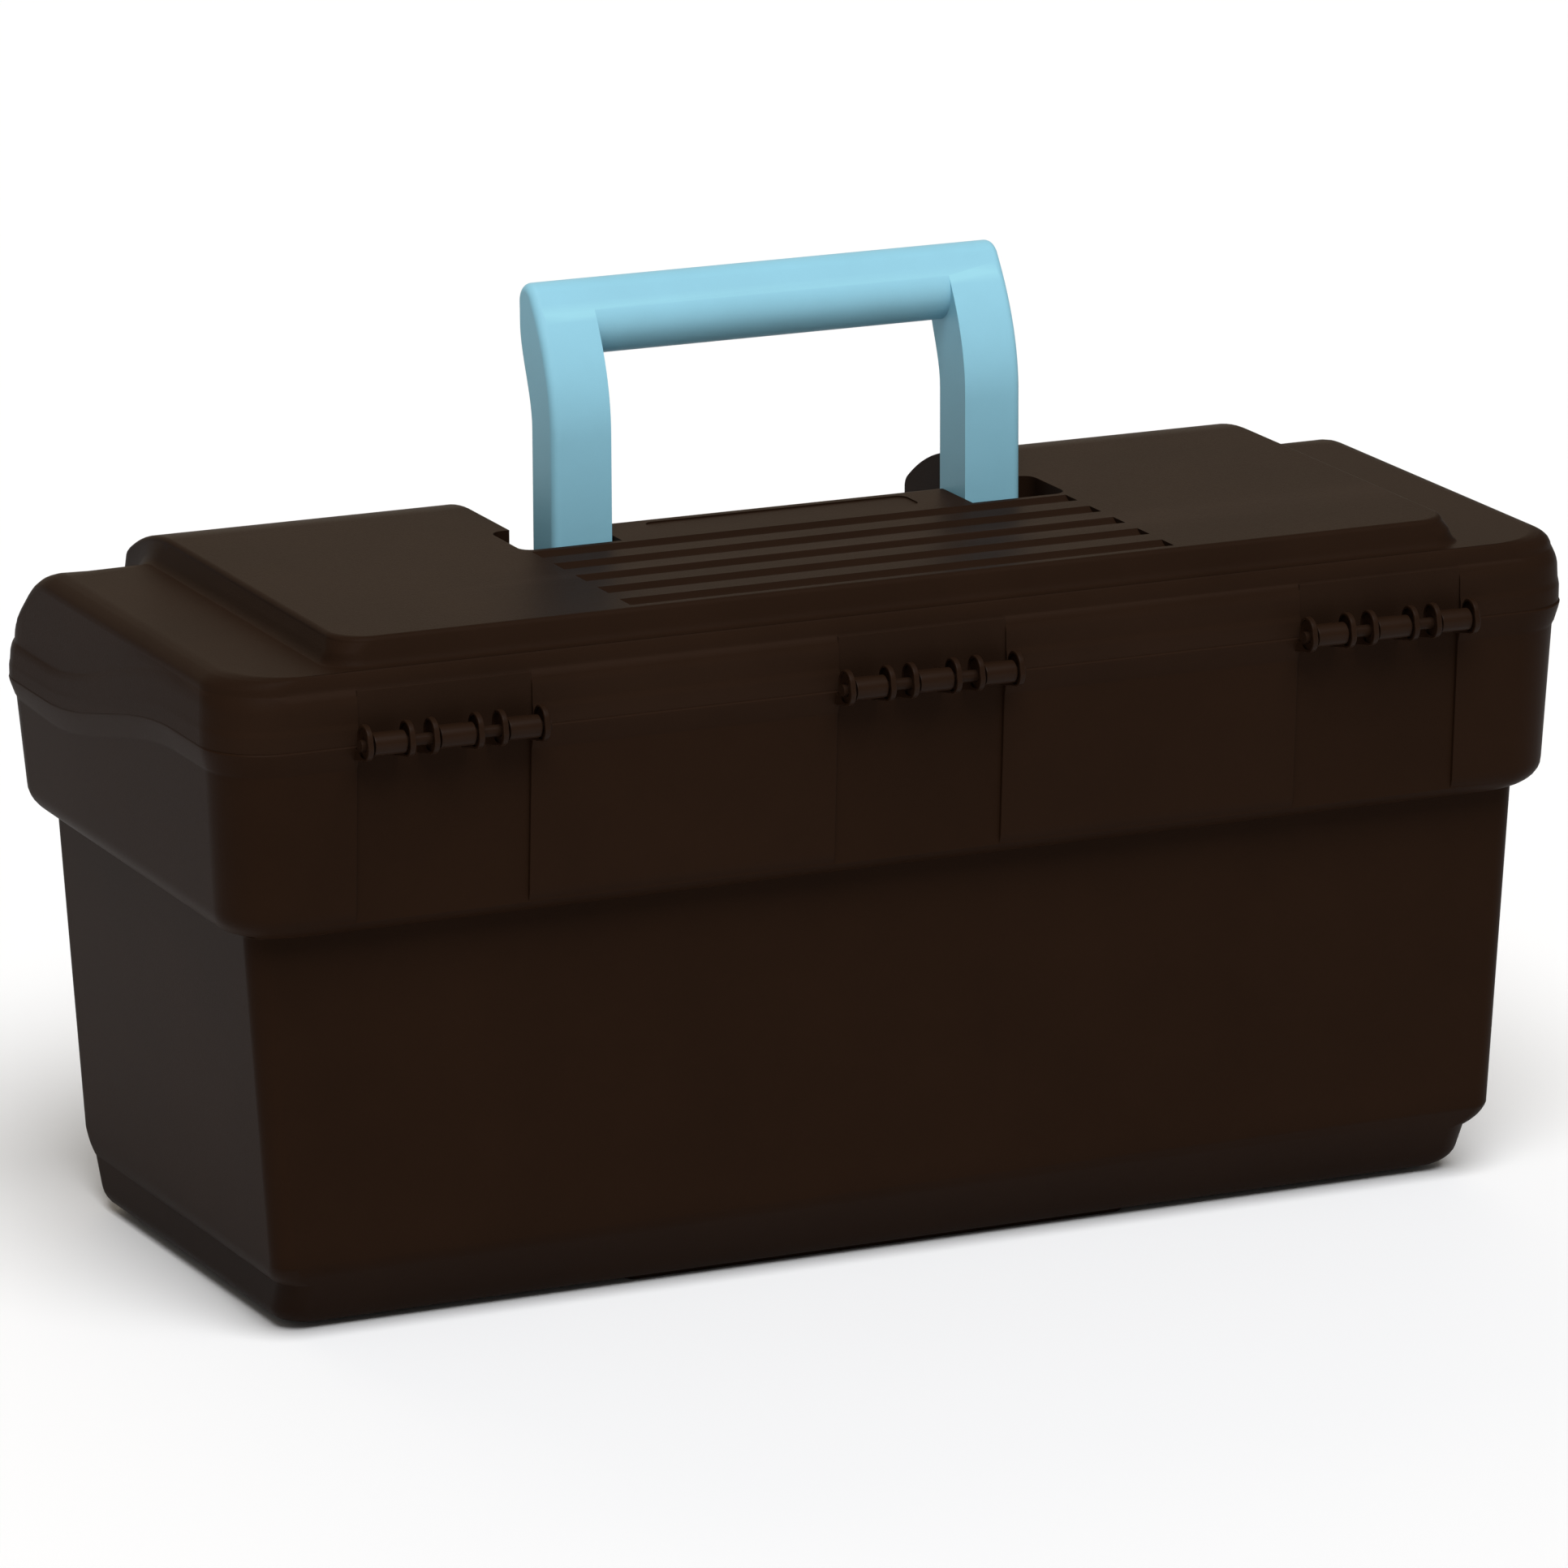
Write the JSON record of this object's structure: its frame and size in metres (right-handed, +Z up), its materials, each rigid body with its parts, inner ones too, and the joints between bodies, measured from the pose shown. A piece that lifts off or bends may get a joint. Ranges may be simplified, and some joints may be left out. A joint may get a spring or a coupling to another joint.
{
  "type": "horse grooming box",
  "caption": "Tapered plastic grooming box with a wide collar, a hinged stepped lid on pinned rear hinges, a folding carry handle, front latches and a lift-out tray.",
  "frame": {"origin": "centre of the underside of the foot pad, on the floor under the middle of the bin", "axes": "+X along the length, to the left when the rear is looked at; +Y to the rear with the hinges; +Z up"},
  "size_m": [0.4072, 0.2079, 0.2652],
  "materials": {
    "brown_plastic": "satin moulded",
    "lid_plastic": "fine satin grain",
    "blue_plastic": "satin moulded",
    "pin_plastic": "satin",
    "pin_steel": "drawn wire",
    "tray_plastic": "satin moulded"
  },
  "bodies": {
    "box": {"body": "brown_plastic", "hinge_pin_left": "pin_plastic", "hinge_pin_middle": "pin_plastic", "hinge_pin_right": "pin_plastic"},
    "lid": {"lid": "lid_plastic", "latch_pin_left": "pin_steel", "latch_pin_right": "pin_steel"},
    "handle": {"handle": "blue_plastic"},
    "latch_left": {"latch_left": "blue_plastic"},
    "latch_right": {"latch_right": "blue_plastic"},
    "tray": {"tray": "tray_plastic"}
  },
  "joints": [
    {"name": "lid_open", "type": "hinge", "parent": "box", "child": "lid", "pos_m": [0, 0.0965, 0.1705], "axis": [-1, 0, 0], "range_deg": [0, 105]},
    {"name": "handle_fold", "type": "hinge", "parent": "lid", "child": "handle", "pos_m": [0, -0.0056, 0.1845], "axis": [1, 0, 0], "range_deg": [0, 90]},
    {"name": "latch_left_flip", "type": "hinge", "parent": "lid", "child": "latch_left", "pos_m": [0.11625, -0.0937, 0.1745], "axis": [-1, 0, 0], "range_deg": [-14, 90]},
    {"name": "latch_right_flip", "type": "hinge", "parent": "lid", "child": "latch_right", "pos_m": [-0.11625, -0.0937, 0.1745], "axis": [-1, 0, 0], "range_deg": [-14, 90]},
    {"name": "tray_lift", "type": "slide", "parent": "box", "child": "tray", "axis": [0, 0, 1], "range_m": [0, 0.012]}
  ]
}
